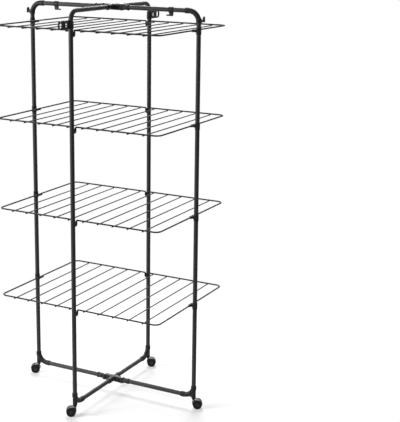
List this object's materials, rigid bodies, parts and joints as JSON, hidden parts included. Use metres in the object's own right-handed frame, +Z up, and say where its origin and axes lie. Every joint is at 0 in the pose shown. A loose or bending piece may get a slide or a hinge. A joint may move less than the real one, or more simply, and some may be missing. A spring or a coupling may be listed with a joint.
{
  "type": "tower clothes airer",
  "caption": "Folding tower clothes airer: a centre frame, hinged side frames, tiers of wire wings, hanger hooks and swivel castors.",
  "frame": {"origin": "on the floor, under the middle of the open tower's bounding box", "axes": "+Z up; X along the side frames; Y along the centre frame, -Y to the front as pictured"},
  "size_m": [0.9008, 0.795, 1.7353],
  "materials": {
    "tube_enamel": "satin powder coat, anthracite",
    "wire_enamel": "satin plastic coat, near black",
    "fitting_plastic": "fine moulded grain, black",
    "pin_steel": "zinc plated",
    "wheel_plastic": "moulded, black"
  },
  "bodies": {
    "centre_frame": {"centre_frame_tube": "tube_enamel", "centre_base_tube": "tube_enamel", "centre_foot_elbow_front": "fitting_plastic", "centre_foot_elbow_back": "fitting_plastic", "wing_bracket_front_1": "fitting_plastic", "wing_bracket_front_2": "fitting_plastic", "wing_bracket_front_3": "fitting_plastic", "wing_bracket_front_4": "fitting_plastic", "wing_bracket_back_1": "fitting_plastic", "wing_bracket_back_2": "fitting_plastic", "wing_bracket_back_3": "fitting_plastic", "wing_bracket_back_4": "fitting_plastic", "hanger_holder_front": "fitting_plastic", "hanger_holder_back": "fitting_plastic", "hinge_hub_top": "fitting_plastic", "hinge_hub_base": "fitting_plastic", "hinge_pin_top_left": "pin_steel", "hinge_pin_top_right": "pin_steel", "hinge_pin_base_left": "pin_steel", "hinge_pin_base_right": "pin_steel"},
    "side_frame_left": {"side_post_left": "tube_enamel", "side_top_bar_left": "tube_enamel", "side_base_bar_left": "tube_enamel", "side_foot_elbow_left": "fitting_plastic", "side_top_elbow_left": "fitting_plastic", "hinge_sleeve_top_left": "fitting_plastic", "hinge_sleeve_base_left": "fitting_plastic", "bar_hook_left": "fitting_plastic", "rail_clip_left_1": "fitting_plastic", "rail_clip_left_2": "fitting_plastic", "rail_clip_left_3": "fitting_plastic", "rail_clip_left_4": "fitting_plastic"},
    "side_frame_right": {"side_post_right": "tube_enamel", "side_top_bar_right": "tube_enamel", "side_base_bar_right": "tube_enamel", "side_foot_elbow_right": "fitting_plastic", "side_top_elbow_right": "fitting_plastic", "hinge_sleeve_top_right": "fitting_plastic", "hinge_sleeve_base_right": "fitting_plastic", "bar_hook_right": "fitting_plastic", "rail_clip_right_1": "fitting_plastic", "rail_clip_right_2": "fitting_plastic", "rail_clip_right_3": "fitting_plastic", "rail_clip_right_4": "fitting_plastic"},
    "wing_left_1": {"wing_left_1": "wire_enamel"},
    "wing_left_2": {"wing_left_2": "wire_enamel"},
    "wing_left_3": {"wing_left_3": "wire_enamel"},
    "wing_left_4": {"wing_left_4": "wire_enamel"},
    "wing_right_1": {"wing_right_1": "wire_enamel"},
    "wing_right_2": {"wing_right_2": "wire_enamel"},
    "wing_right_3": {"wing_right_3": "wire_enamel"},
    "wing_right_4": {"wing_right_4": "wire_enamel"},
    "castor_left": {"castor_hood_left": "fitting_plastic"},
    "castor_wheels_left": {"castor_wheels_left": "wheel_plastic"},
    "castor_right": {"castor_hood_right": "fitting_plastic"},
    "castor_wheels_right": {"castor_wheels_right": "wheel_plastic"},
    "castor_front": {"castor_hood_front": "fitting_plastic"},
    "castor_wheels_front": {"castor_wheels_front": "wheel_plastic"},
    "castor_back": {"castor_hood_back": "fitting_plastic"},
    "castor_wheels_back": {"castor_wheels_back": "wheel_plastic"}
  },
  "joints": [
    {"name": "side_frame_left_fold", "type": "hinge", "parent": "centre_frame", "child": "side_frame_left", "pos_m": [-0.045, 0, 0.9], "axis": [0, 0, 1], "range_deg": [0, 90]},
    {"name": "side_frame_right_fold", "type": "hinge", "parent": "centre_frame", "child": "side_frame_right", "pos_m": [0.045, 0, 0.9], "axis": [0, 0, 1], "range_deg": [0, 90]},
    {"name": "wing_left_1_fold", "type": "hinge", "parent": "centre_frame", "child": "wing_left_1", "pos_m": [-0.005, 0, 1.628], "axis": [0, -1, 0], "range_deg": [0, 90]},
    {"name": "wing_left_2_fold", "type": "hinge", "parent": "centre_frame", "child": "wing_left_2", "pos_m": [-0.005, 0, 1.238], "axis": [0, -1, 0], "range_deg": [0, 90]},
    {"name": "wing_left_3_fold", "type": "hinge", "parent": "centre_frame", "child": "wing_left_3", "pos_m": [-0.005, 0, 0.848], "axis": [0, -1, 0], "range_deg": [0, 90]},
    {"name": "wing_left_4_fold", "type": "hinge", "parent": "centre_frame", "child": "wing_left_4", "pos_m": [-0.005, 0, 0.458], "axis": [0, -1, 0], "range_deg": [0, 90]},
    {"name": "wing_right_1_fold", "type": "hinge", "parent": "centre_frame", "child": "wing_right_1", "pos_m": [0.005, 0, 1.628], "axis": [0, 1, 0], "range_deg": [0, 90]},
    {"name": "wing_right_2_fold", "type": "hinge", "parent": "centre_frame", "child": "wing_right_2", "pos_m": [0.005, 0, 1.238], "axis": [0, 1, 0], "range_deg": [0, 90]},
    {"name": "wing_right_3_fold", "type": "hinge", "parent": "centre_frame", "child": "wing_right_3", "pos_m": [0.005, 0, 0.848], "axis": [0, 1, 0], "range_deg": [0, 90]},
    {"name": "wing_right_4_fold", "type": "hinge", "parent": "centre_frame", "child": "wing_right_4", "pos_m": [0.005, 0, 0.458], "axis": [0, 1, 0], "range_deg": [0, 90]},
    {"name": "castor_left_swivel", "type": "hinge", "parent": "side_frame_left", "child": "castor_left", "pos_m": [-0.409, 0, 0.045], "axis": [0, 0, 1], "continuous": true},
    {"name": "castor_left_roll", "type": "hinge", "parent": "castor_left", "child": "castor_wheels_left", "pos_m": [-0.42314, -0.0085, 0.02], "axis": [0.515, -0.8572, 0], "continuous": true},
    {"name": "castor_right_swivel", "type": "hinge", "parent": "side_frame_right", "child": "castor_right", "pos_m": [0.409, 0, 0.045], "axis": [0, 0, 1], "continuous": true},
    {"name": "castor_right_roll", "type": "hinge", "parent": "castor_right", "child": "castor_wheels_right", "pos_m": [0.42314, 0.0085, 0.02], "axis": [-0.515, 0.8572, 0], "continuous": true},
    {"name": "castor_front_swivel", "type": "hinge", "parent": "centre_frame", "child": "castor_front", "pos_m": [0, -0.312, 0.045], "axis": [0, 0, 1], "continuous": true},
    {"name": "castor_front_roll", "type": "hinge", "parent": "castor_front", "child": "castor_wheels_front", "pos_m": [-0.01414, -0.3205, 0.02], "axis": [0.515, -0.8572, 0], "continuous": true},
    {"name": "castor_back_swivel", "type": "hinge", "parent": "centre_frame", "child": "castor_back", "pos_m": [0, 0.312, 0.045], "axis": [0, 0, 1], "continuous": true},
    {"name": "castor_back_roll", "type": "hinge", "parent": "castor_back", "child": "castor_wheels_back", "pos_m": [0.01414, 0.3205, 0.02], "axis": [-0.515, 0.8572, 0], "continuous": true}
  ],
  "couplings": [
    {"joint": "wing_left_1_fold", "follows": "side_frame_left_fold", "ratio": 1},
    {"joint": "wing_left_2_fold", "follows": "side_frame_left_fold", "ratio": 1},
    {"joint": "wing_left_3_fold", "follows": "side_frame_left_fold", "ratio": 1},
    {"joint": "wing_left_4_fold", "follows": "side_frame_left_fold", "ratio": 1},
    {"joint": "wing_right_1_fold", "follows": "side_frame_right_fold", "ratio": 1},
    {"joint": "wing_right_2_fold", "follows": "side_frame_right_fold", "ratio": 1},
    {"joint": "wing_right_3_fold", "follows": "side_frame_right_fold", "ratio": 1},
    {"joint": "wing_right_4_fold", "follows": "side_frame_right_fold", "ratio": 1}
  ]
}
